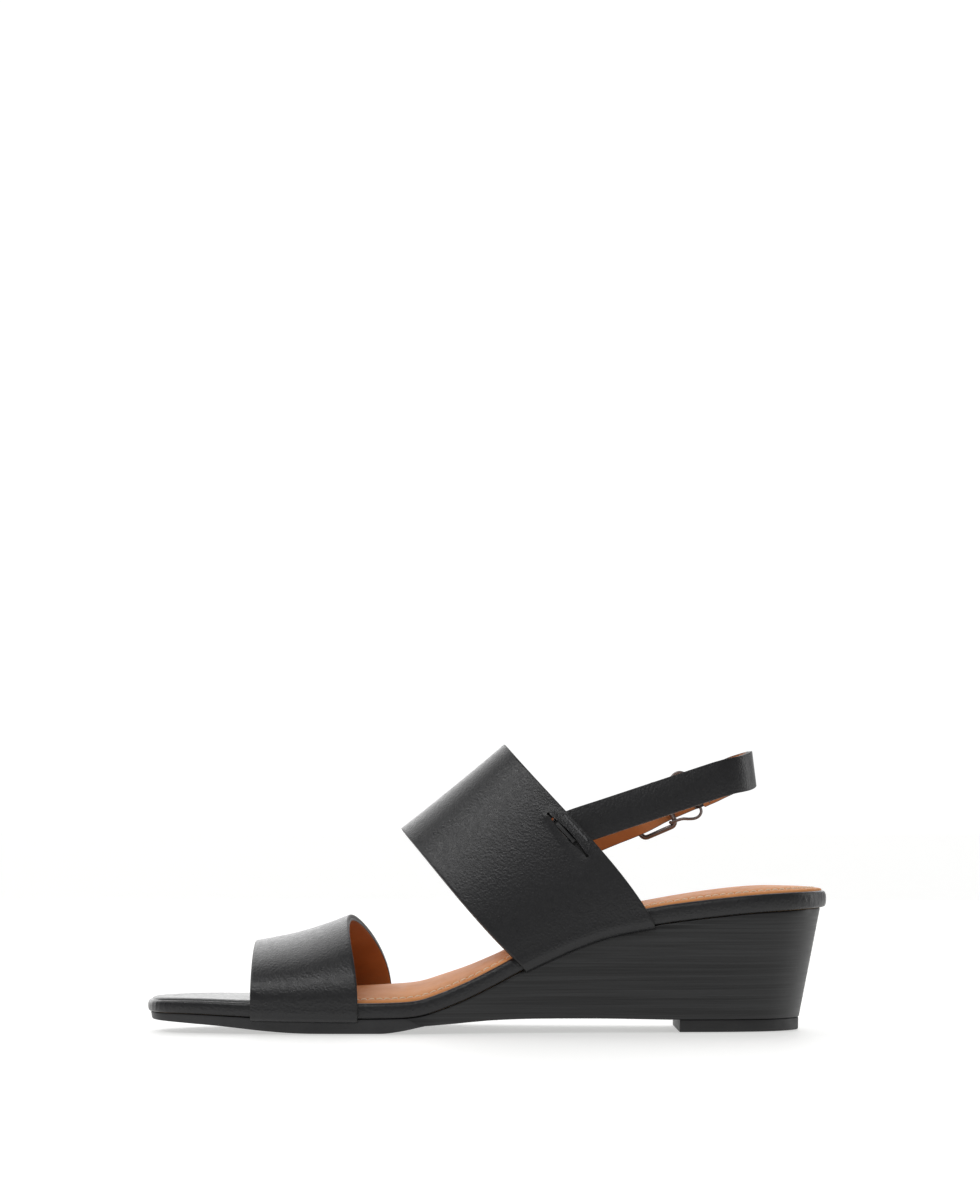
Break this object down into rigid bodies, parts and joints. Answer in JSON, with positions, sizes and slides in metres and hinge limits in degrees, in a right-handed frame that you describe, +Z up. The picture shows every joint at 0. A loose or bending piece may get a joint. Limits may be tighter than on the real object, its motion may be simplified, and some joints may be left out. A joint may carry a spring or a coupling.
{
  "type": "wedge slingback sandal",
  "caption": "Low wedge slingback sandal with two crossed leather bands over the foot, a padded footbed and a buckled strap round the heel.",
  "frame": {"origin": "on the ground, under the middle of the shoe's length and width", "axes": "+X runs from the toe to the heel, +Y to the outer side of the foot, where the buckle is, +Z up. Z = 0 is the ground."},
  "size_m": [0.246, 0.0892, 0.1034],
  "materials": {
    "black_leather": "semi-gloss grained",
    "tan_lining": "satin",
    "sock_leather": "satin",
    "cream_thread": "matt",
    "black_thread": "matt",
    "wedge_stack": "painted satin",
    "outsole_rubber": "matt",
    "insole_board": "fibre",
    "foam": "matt",
    "steel": "satin",
    "buckle_metal": "dark nickel"
  },
  "bodies": {
    "sandal": {"outsole": "outsole_rubber", "wedge": "wedge_stack", "heel_top_piece": "outsole_rubber", "insole_board": "insole_board", "shank": "steel", "shank_rivets": "steel", "heel_nails": "steel", "foam_padding": "foam", "rim_cover": "black_leather", "toe_cover": "black_leather", "sock_lining": "sock_leather", "sock_stitching": "cream_thread", "toe_band_outer": "black_leather", "toe_band_lining": "tan_lining", "instep_band_outer": "black_leather", "instep_band_lining": "tan_lining", "slot_stitching": "black_thread"},
    "sling": {"sling_strap_outer": "black_leather", "sling_strap_lining": "tan_lining", "sling_end_stitching": "black_thread"},
    "front_tab": {"front_tab_outer": "black_leather", "front_tab_lining": "tan_lining"},
    "frame": {"buckle_frame": "buckle_metal"},
    "prong": {"buckle_prong": "buckle_metal"},
    "hook": {"buckle_hook": "buckle_metal"}
  },
  "joints": [
    {"name": "sling_swing", "type": "hinge", "parent": "sandal", "child": "sling", "pos_m": [0.02866, 0.00141, 0.06978], "axis": [0.0792, 0.9931, -0.0863], "range_deg": [-5, 5]},
    {"name": "tab_lift", "type": "hinge", "parent": "sling", "child": "front_tab", "pos_m": [0.03772, 0.02546, 0.06956], "axis": [-0.4153, -0.1167, 0.9021], "range_deg": [0, 5]},
    {"name": "frame_tilt", "type": "hinge", "parent": "front_tab", "child": "frame", "pos_m": [0.06597, 0.01917, 0.08175], "axis": [0.4153, 0.1167, -0.9021], "range_deg": [0, 8]},
    {"name": "prong_lift", "type": "hinge", "parent": "frame", "child": "prong", "pos_m": [0.06597, 0.01917, 0.08175], "axis": [0.4153, 0.1167, -0.9021], "range_deg": [0, 20]},
    {"name": "hook_open", "type": "hinge", "parent": "sling", "child": "hook", "pos_m": [0.07559, 0.01703, 0.08591], "axis": [-0.4153, -0.1167, 0.9021], "range_deg": [0, 50]}
  ]
}
